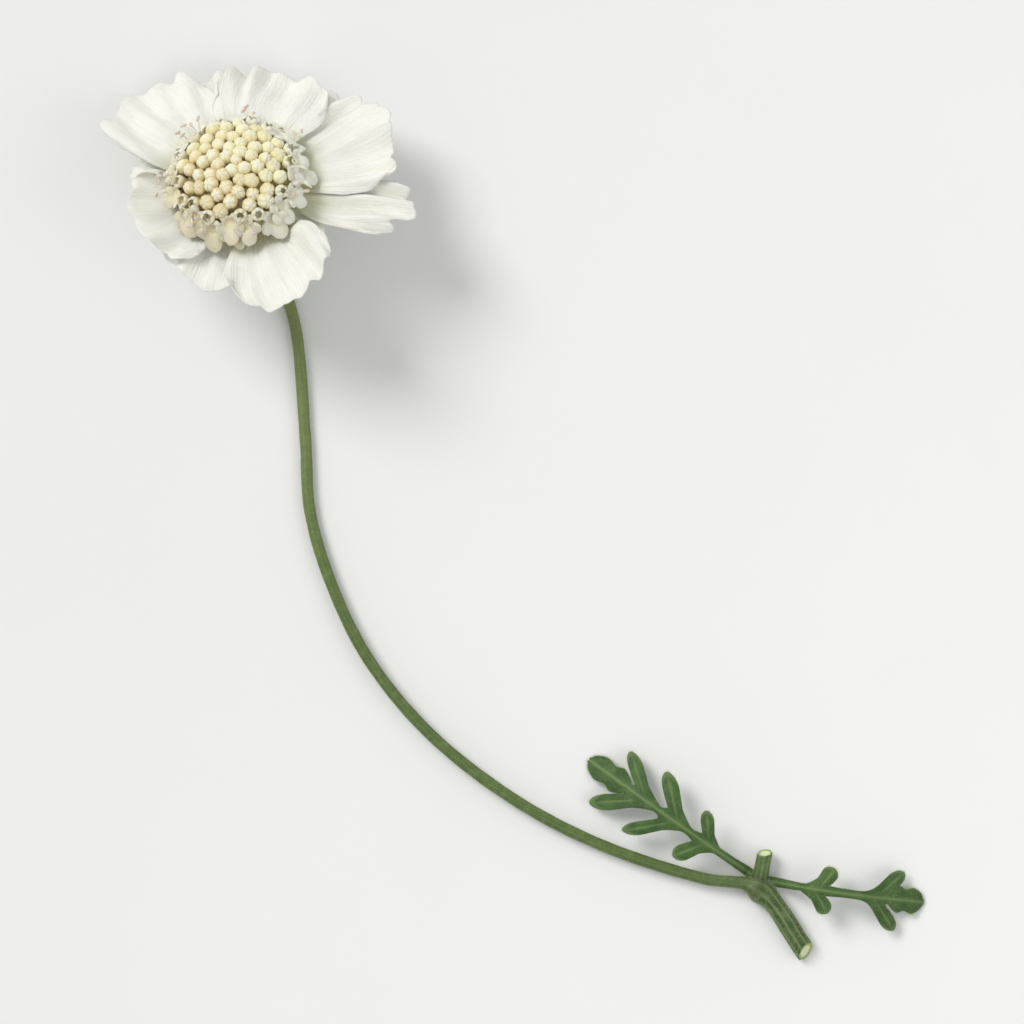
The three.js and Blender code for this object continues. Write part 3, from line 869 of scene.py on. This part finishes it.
def add_stem(pile, path, radius, ribs, slant, share, crease):
    """Adds a stem with a cut end to a pile, with its values. cut grows from 0 at the skin inward."""
    rings, ridge = stem_rings(path, radius, ribs, slant)

    def at_points(values, beyond):
        values = np.append(values, beyond)
        return np.append(np.repeat(values, STALK_SIDES), values[[0, -1]])

    pile.add(
        tube(lifted(rings, LEAST_STEM_HEIGHT)),
        share=at_points(share, [share[-1]] * len(CUT_FACE)),
        crease=at_points(crease, [0] * len(CUT_FACE)),
        cut=at_points(0 * share, [1.05 - row[0] for row in CUT_FACE]),
        ridge=np.append(np.tile(ridge, len(rings)), [0, 0]),
    )


def stem_hairs(draw, path, radius, weight, count, length):
    """Short hairs that stand off a stem, more of them where weight is larger."""
    tangents, side, other = frames_along(path)
    row = draw.choice(len(path), count, p=weight / weight.sum())
    angle = draw.uniform(0, 2 * pi, count)[:, None]
    out = side[row] * np.cos(angle) + other[row] * np.sin(angle)
    roots = path[row] + out * (radius[row] * 0.95)[:, None]
    roots += tangents[row] * draw.uniform(-0.2, 0.2, (count, 1))
    directions = unit(out + tangents[row] * draw.normal(0.3, 0.4, (count, 1)))
    lengths = draw.uniform(0.4, 1.2, count) * length
    mesh = hairs(roots, directions, lengths, draw.normal(0, 0.08, (count, 3)))
    lifted(mesh[0], LEAST_STEM_HEIGHT)
    return mesh


def build_stalk():
    pile = Pile("share", "cut", "crease", "ridge")
    fuzz = Pile()
    draw = np.random.default_rng(23)
    path = stalk_path()
    radius, share, to_joint = stalk_radius(path)
    radius *= 1 + 0.015 * np.sin(share * 190) + 0.012 * np.sin(share * 71 + 1)
    ribs = mix(0.06, 0.16, ease(to_joint - 0.02, to_joint + 0.02, share))
    add_stem(pile, path, radius, ribs, CUT_SLANT, share, bell(share - to_joint, 0.004))
    joint = from_head(JOINT)
    stump_end = from_head(STUMP_END)
    stump_path = centripetal([joint, (joint + stump_end) / 2, stump_end], STUMP_STEPS)
    outward = np.linspace(0, 1, len(stump_path))
    stump_radius = STUMP_RADIUS * (1 + 0.25 * bell(outward, 0.4))
    level_share = to_joint + 0 * outward
    crease = bell(outward - 0.3, 0.1)
    add_stem(pile, stump_path, stump_radius, 0.12 + 0 * outward, STUMP_SLANT, level_share, crease)
    weight = 0.35 + 2.2 * bell(share - to_joint, 0.06) + 0.8 * bell(share, 0.03)
    fuzz.add(stem_hairs(draw, path, radius, weight, STALK_HAIRS, 0.55))
    fuzz.add(stem_hairs(draw, stump_path, stump_radius, 1 + outward, STUMP_HAIRS, 0.6))
    add_piece("stalk_fine", pile, stalk_paint(), ["stalk"])
    add_piece("stalk_hairs", fuzz, hair_paint())


# Leaves

def leaf_rows(noise, length, pairs, lobe, side):
    """Foot on the rib and point on the edge for each row of one side of a leaf cut to the rib."""
    rows = [(-1.9, -1.9, 0.8), (0, 0, 0.75), (0.16 * length, 0.16 * length, 0.6)]
    for pair in range(pairs):
        middle = length * (0.27 + 0.4 * pair / (pairs - 1)) + 0.3 * side
        reach = lobe * (0.72 if pair == 0 else 1) * (1 + 0.12 * noise())
        lean = radians(50 - 6 * pair + 4 * noise())
        half_width = LOBE_HALF_WIDTH * (1 + 0.12 * noise())
        half_foot = half_width / sin(lean)
        behind = middle - half_foot - 0.4
        before = middle + half_foot + RIB_HALF_WIDTH / (2 * tan(lean)) + 0.4
        rows.append((behind, behind, RIB_HALF_WIDTH))
        for index, (share, aside) in enumerate(LOBE_OUTLINE):
            foot = middle + half_foot * (2 * index / (len(LOBE_OUTLINE) - 1) - 1)
            x = middle + share * reach * cos(lean) - aside * half_width * sin(lean)
            y = RIB_HALF_WIDTH + share * reach * sin(lean) + aside * half_width * cos(lean)
            rows.append((foot, x, y))
        rows.append((before, before, RIB_HALF_WIDTH))
    return rows + [(share * length, share * length, half) for share, half in LEAF_END]


def leaf_grid(noise, length, rise, pairs, lobe):
    """The middle surface of a leaf, with its thickness, its veins and the nearness of its edge."""
    halves = [leaf_rows(noise, length, pairs, lobe, side) for side in (-1, 1)]
    place = np.linspace(0, len(halves[0]) - 1, (len(halves[0]) - 1) * LEAF_STEPS + 1)
    half = np.linspace(RIB_SHARE, 1, 13)
    share = np.concatenate([-half[::-1], np.linspace(-0.22, 0.22, 5), half])
    which = (share > 0).astype(int)
    both = np.stack([through(rows, place) for rows in halves], 1)
    foot, edge_x, edge_y = np.moveaxis(both[:, which], 2, 0)
    side = np.abs(share)[None, :]
    lobe_share = np.clip((side - RIB_SHARE) / (1 - RIB_SHARE), 0, 1)
    base_y = RIB_HALF_WIDTH / 2
    x = foot + (edge_x - foot) * lobe_share
    y = base_y * np.minimum(side / RIB_SHARE, 1) + (edge_y - base_y) * lobe_share
    along = np.clip(x / length, 0, 1)
    arch = rise * np.sin(pi * along**0.8) + LEAF_FOOT_HEIGHT * (1 - along)
    droop = LEAF_DROOP * y * np.sin(pi * along)
    rows_each = len(LOBE_OUTLINE) + 2
    middles = [3 + rows_each * pair + (len(LOBE_OUTLINE) + 1) / 2 for pair in range(pairs)]
    lobe_vein = sum(bell(place - middle, 0.3) for middle in middles)[:, None]
    lobe_vein = lobe_vein * ease(0.3, 0.45, side) * ease(1.0, 0.75, side)
    vein = np.maximum(bell(y, 0.3), 0.85 * lobe_vein)
    wave = 0.2 * np.sin(1.3 * x + 2.6 * np.sign(share)) * lobe_share
    curl = 0.25 * lobe_share**3
    height = LEAF_BODY / 2 + arch - droop + wave - curl - 0.16 * vein
    points = stacked(x, y * np.sign(share)[None, :], height)
    thickness = mix(0.16, 0.07, ease(0.8, 1.0, side)) + 0.5 * bell(y, 0.4)
    thickness += 0.12 * lobe_vein * (1 - lobe_share)
    return points, thickness, vein, lobe_share + 0 * x


def build_leaf(leaf, seed):
    name, (bearing, distance), azimuth, length, rise, pairs, lobe = leaf
    points, thickness, vein, edge = leaf_grid(noise_source(seed), length, rise, pairs, lobe)
    start = from_head((JOINT[0], JOINT[1], LEAF_CLEARANCE)) + distance * heading(radians(bearing))
    points = about_axis(points, azimuth) + start
    blade = sheet(points, thickness)
    lifted(blade[0], LEAST_LEAF_HEIGHT)
    pile = Pile("vein", "edge")
    pile.add(blade, vein=vein, edge=edge)
    fuzz = Pile()
    fuzz.add(leaf_hairs(np.random.default_rng(seed), points))
    add_piece(name + "_fine", pile, leaf_paint(), [name])
    add_piece(name + "_hairs", fuzz, hair_paint())


def leaf_hairs(draw, points):
    """Fine hairs round the margin of a leaf and over its upper side."""
    rows, columns, _ = points.shape
    count = LEAF_HAIRS
    row = draw.integers(12, rows, count)
    at_margin = draw.random(count) < 0.55
    column = np.where(at_margin, draw.choice([0, columns - 1], count), draw.integers(0, columns, count))
    roots, normals, outward = on_blade(points, row, column)
    directions = unit(normals * 0.7 + outward * at_margin[:, None] + draw.normal(0, 0.3, (count, 3)))
    lengths = draw.uniform(0.2, 0.6, count)
    mesh = hairs(roots, directions, lengths, draw.normal(0, 0.05, (count, 3)))
    lifted(mesh[0], LEAST_STEM_HEIGHT)
    return mesh


# Materials

def srgb(red, green, blue):
    """Scene colour of a screen colour given in 0 to 255."""
    shares = [value / 255 for value in (red, green, blue)]
    return [s / 12.92 if s <= 0.04045 else ((s + 0.055) / 1.055) ** 2.4 for s in shares] + [1.0]


class Paint:
    """A node material. Most methods add a node and return its output."""

    def __init__(self, name, roughness, specular=0.3):
        self.material = bpy.data.materials.new(name)
        self.material.use_nodes = True
        self.tree = self.material.node_tree
        self.shader = self.tree.nodes["Principled BSDF"]
        self.set("Roughness", roughness)
        self.set("Specular IOR Level", specular)

    def set(self, socket, value):
        self.shader.inputs[socket].default_value = value

    def feed(self, socket, value):
        """Sets an input. A tuple is a colour of 0 to 255, and a word names a value at the points."""
        if isinstance(value, str):
            value = self.node("Attribute", {}, "Fac", attribute_name=value)
        if isinstance(value, bpy.types.NodeSocket):
            self.tree.links.new(value, socket)
        else:
            socket.default_value = srgb(*value) if isinstance(value, tuple) else value

    def node(self, kind, inputs, output=0, **settings):
        """Adds a node with these settings and inputs, and returns one of its outputs."""
        node = self.tree.nodes.new("ShaderNode" + kind)
        for name, setting in settings.items():
            setattr(node, name, setting)
        for name, value in inputs.items():
            self.feed(node.inputs[name], value)
        return node.outputs[output]

    def math(self, operation, *values):
        return self.node("Math", dict(enumerate(values)), operation=operation)

    def step(self, value, low, high):
        """A smooth step from 0 at low to 1 at high, also where low is the larger one."""
        inputs = {"Value": value, "From Min": low, "From Max": high}
        return self.node("MapRange", inputs, interpolation_type="SMOOTHSTEP")

    def place(self):
        return self.node("TexCoord", {}, "Object")

    def noise(self, size, detail=3.0):
        """Noise with bumps of about this size in millimetres."""
        inputs = {"Vector": self.place(), "Scale": 1 / (size * MM), "Detail": detail, "Roughness": 0.55}
        return self.node("TexNoise", inputs)

    def from_middle(self):
        """Distance from the object's own middle in metres."""
        return self.node("VectorMath", {0: self.place()}, "Value", operation="LENGTH")

    def streaks(self, **counts):
        """Noise along up to three values, with about this many bumps for each unit of a value."""
        scaled = [self.math("MULTIPLY", name, count) for name, count in counts.items()]
        place = self.node("CombineXYZ", dict(enumerate(scaled)))
        return self.node("TexNoise", {"Vector": place, "Scale": 1.0, "Detail": 3.0})

    def mix(self, share, first, second, strength=None):
        """The first colour under a share of the second one, times a strength where one is given."""
        if strength is not None:
            share = self.math("MULTIPLY", share, strength)
        return self.node("Mix", {0: share, 6: first, 7: second}, 2, data_type="RGBA")

    def colour(self, value):
        self.feed(self.shader.inputs["Base Color"], value)

    def bump(self, height, depth, strength):
        """Bump from a height of 0 to 1 that stands for this depth in millimetres."""
        inputs = {"Height": height, "Strength": strength, "Distance": depth * MM}
        self.feed(self.shader.inputs["Normal"], self.node("Bump", inputs))

    def glow_through(self, weight, depth, colour):
        """Light that spreads under the skin, to this depth in millimetres."""
        self.set("Subsurface Weight", weight)
        self.set("Subsurface Scale", depth * MM)
        self.set("Subsurface Radius", colour)


def vein_lines(paint, count, width):
    """Fine lines that run out along a lip: 1 on a line and 0 between."""
    across = paint.math("MULTIPLY", "across", count * pi)
    bent = paint.math("MULTIPLY_ADD", paint.noise(3.0), 2.4, across)
    return paint.step(paint.math("ABSOLUTE", paint.math("SINE", bent)), width, 0.0)


def petal_paint():
    paint = Paint("petal", 0.6, 0.25)
    white = paint.mix(paint.step(paint.noise(6.0), 0.35, 0.7), (247, 246, 238), (239, 239, 229))
    tinted = paint.mix(paint.step("along", 0.5, 0.12), white, (228, 229, 182))
    lines = vein_lines(paint, 9, 0.3)
    fine_lines = paint.math("MULTIPLY", vein_lines(paint, 21, 0.45), paint.step("along", 0.3, 0.7))
    both = paint.math("MAXIMUM", lines, fine_lines)
    paint.colour(paint.mix(both, tinted, (208, 212, 190), 0.09))
    crepe = paint.streaks(across=26, along=7, lip=7.3)
    paint.bump(paint.math("MULTIPLY_ADD", both, -0.2, crepe), 0.2, 0.8)
    paint.glow_through(0.25, 0.8, (1.0, 0.95, 0.8))
    paint.set("Sheen Weight", 0.08)
    return paint


def disc_paint():
    paint = Paint("disc_floret", 0.55)
    shade = paint.step("shade", -1.0, 1.0)
    bead = paint.mix(shade, (247, 241, 204), (239, 229, 184))
    # Painted shade: beads, rim lobes and gaps turn darker and browner toward one side of the cushion, the
    # lower left of the picture.
    painted_shade = paint.step("side", -0.4, 1.0)
    toned = paint.mix(painted_shade, bead, (222, 204, 158), 0.8)
    rim = paint.step("rim", 0.74, 0.86)
    lobes = paint.mix(painted_shade, (247, 245, 226), (226, 213, 174), 0.8)
    outer = paint.mix(rim, toned, lobes)
    tip = paint.mix(paint.step("rise", 0.6, 1.1), outer, (247, 243, 216))
    # Low on the florets and on the core the colour turns darker tan: partly their own colour, partly
    # painted shade between the beads; it is paler at the rim.
    gaps = paint.mix(painted_shade, (220, 210, 158), (190, 170, 124))
    pale_gaps = paint.mix(rim, gaps, (240, 235, 206), 0.6)
    body = paint.mix(paint.step("rise", 0.1, -1.6), tip, pale_gaps)
    paint.colour(paint.mix(paint.step(paint.noise(1.2), 0.45, 0.75), body, (208, 194, 146), 0.25))
    paint.bump(paint.noise(0.35, 2.0), 0.06, 0.6)
    paint.glow_through(0.35, 0.9, (1.0, 0.85, 0.55))
    return paint


def bristle_paint():
    paint = Paint("bristle", 0.5)
    paint.colour(paint.mix(paint.noise(0.5), (168, 146, 96), (132, 112, 66)))
    return paint


def thread_paint():
    paint = Paint("filament", 0.5)
    paint.colour(paint.mix(paint.noise(1.0), (240, 236, 222), (225, 215, 205)))
    paint.bump(paint.noise(0.2), 0.02, 0.5)
    return paint


def anther_paint():
    paint = Paint("anther", 0.65, 0.25)
    shade = paint.step("shade", -1.0, 1.0)
    tone = paint.mix(shade, (222, 208, 196), (196, 178, 186))
    paint.colour(paint.mix(paint.noise(0.3), tone, (228, 216, 190)))
    paint.bump(paint.noise(0.12, 2.0), 0.04, 0.8)
    return paint


def bract_paint():
    paint = Paint("bract", 0.6)
    green = paint.mix(paint.noise(1.5), (126, 146, 66), (104, 128, 56))
    dark = paint.mix(paint.step("along", 0.25, 1.0), green, (58, 78, 34))
    keel = paint.step(paint.math("ABSOLUTE", "across"), 0.25, 0.0)
    paint.colour(paint.mix(keel, dark, (150, 164, 96), 0.45))
    paint.bump(paint.noise(0.3, 3.0), 0.08, 0.8)
    return paint


def hair_paint():
    paint = Paint("hair", 0.45, 0.4)
    paint.colour(paint.mix(paint.noise(2.0), (206, 216, 182), (176, 190, 144)))
    paint.glow_through(0.3, 0.1, (1.0, 1.0, 0.9))
    return paint


def stalk_paint():
    paint = Paint("stalk", 0.5, 0.35)
    upper = paint.mix(paint.step("share", 0.03, 0.5), (120, 135, 82), (82, 103, 50))
    lower = paint.mix(paint.step("share", 0.88, 0.95), upper, (56, 82, 34))
    green = paint.mix(paint.step(paint.noise(1.6, 4.0), 0.4, 0.75), lower, (132, 150, 92), 0.35)
    strength = paint.math("MULTIPLY_ADD", paint.step("share", 0.9, 0.94), 0.35, 0.15)
    ridged = paint.mix("ridge", green, (150, 168, 116), strength)
    creased = paint.mix("crease", ridged, (58, 56, 30), 0.5)
    flesh = paint.mix(paint.step("cut", 0.25, 0.5), (150, 172, 96), (222, 226, 186))
    paint.colour(paint.mix(paint.step("cut", 0.02, 0.08), creased, flesh))
    paint.bump(paint.noise(0.4, 4.0), 0.07, 0.7)
    paint.glow_through(0.1, 0.5, (0.8, 1.0, 0.4))
    return paint


def leaf_paint():
    paint = Paint("leaf", 0.55)
    green = paint.mix(paint.step(paint.noise(2.5, 4.0), 0.3, 0.7), (54, 84, 34), (74, 104, 50))
    rimmed = paint.mix(paint.step("edge", 0.84, 1.0), green, (126, 148, 98), 0.6)
    paint.colour(paint.mix("vein", rimmed, (130, 152, 96), 0.6))
    paint.bump(paint.noise(0.6, 3.0), 0.2, 0.8)
    paint.glow_through(0.08, 0.4, (0.6, 1.0, 0.3))
    paint.set("Sheen Weight", 0.08)
    return paint


def floor_paint():
    """Pale near the flower, and painted darker far away, as grey as the studio behind it: painted shade."""
    paint = Paint("floor", 0.8, 0.1)
    near = paint.mix(paint.noise(40.0), (239, 239, 237), (242, 242, 241))
    # Painted shade: the floor darkens with distance from the middle toward the studio's grey.
    paint.colour(paint.mix(paint.step(paint.from_middle(), 0.15, 0.9), near, (206, 206, 206)))
    return paint


# Stage, light and camera

VIEW_HEIGHT = 166
LENS = 150
SENSOR_WIDTH = 36
FLOOR_HALF = 2000
KEY_PLACE = (-600, 560, 840)
KEY_STRENGTH = 1.68
KEY_BREADTH = 26
KEY_COLOUR = (1.0, 0.99, 0.97)
FILL_PLACE = (380, -160, 420)
FILL_POWER = 0.55
FILL_BREADTH = 420
FILL_COLOUR = (0.97, 0.99, 1.0)
STUDIO_COLOUR = (0.99, 0.995, 1.0, 1.0)
STUDIO_STRENGTH = 0.52


def add_floor():
    mesh = bpy.data.meshes.new("floor")
    half = FLOOR_HALF * MM
    corners = [(-half, -half, 0), (half, -half, 0), (half, half, 0), (-half, half, 0)]
    mesh.from_pydata(corners, [], [(0, 1, 2, 3)])
    mesh.materials.append(floor_paint().material)
    floor = add_object("floor", mesh)


def add_light(name, kind, place, energy, colour):
    """A light that shines on the middle of the picture."""
    light = bpy.data.lights.new(name, kind)
    light.energy = energy
    light.color = colour
    lamp = add_object(name, light)
    lamp.location = Vector(place) * MM
    lamp.rotation_euler = (-lamp.location).to_track_quat("-Z", "Y").to_euler()
    return light


def add_lights():
    """A broad, even light from the upper left of the picture, a weak fill and a pale studio."""
    key = add_light("key", "SUN", KEY_PLACE, KEY_STRENGTH, KEY_COLOUR)
    key.angle = radians(KEY_BREADTH)
    fill = add_light("fill", "AREA", FILL_PLACE, FILL_POWER, FILL_COLOUR)
    fill.shape = "DISK"
    fill.size = FILL_BREADTH * MM
    world = bpy.data.worlds.new("studio")
    world.use_nodes = True
    background = world.node_tree.nodes["Background"].inputs
    background["Color"].default_value = STUDIO_COLOUR
    background["Strength"].default_value = STUDIO_STRENGTH
    bpy.context.scene.world = world


def add_camera():
    """The camera looks straight down, with the picture's up along +Y."""
    data = bpy.data.cameras.new("camera")
    data.lens = LENS
    data.sensor_width = SENSOR_WIDTH
    data.clip_start = 0.01
    camera = add_object("camera", data)
    camera.location = (0, 0, VIEW_HEIGHT * MM * LENS / SENSOR_WIDTH)
    bpy.context.scene.camera = camera


def set_colours():
    view = bpy.context.scene.view_settings
    view.view_transform = "Standard"
    view.look = "None"
    view.exposure = 0.0


build_ray_florets()
build_disc_florets()
build_stamens()
build_involucre()
build_stalk()
for leaf_number, leaf_entry in enumerate(LEAVES):
    build_leaf(leaf_entry, 31 + leaf_number)
add_floor()
add_lights()
add_camera()
set_colours()
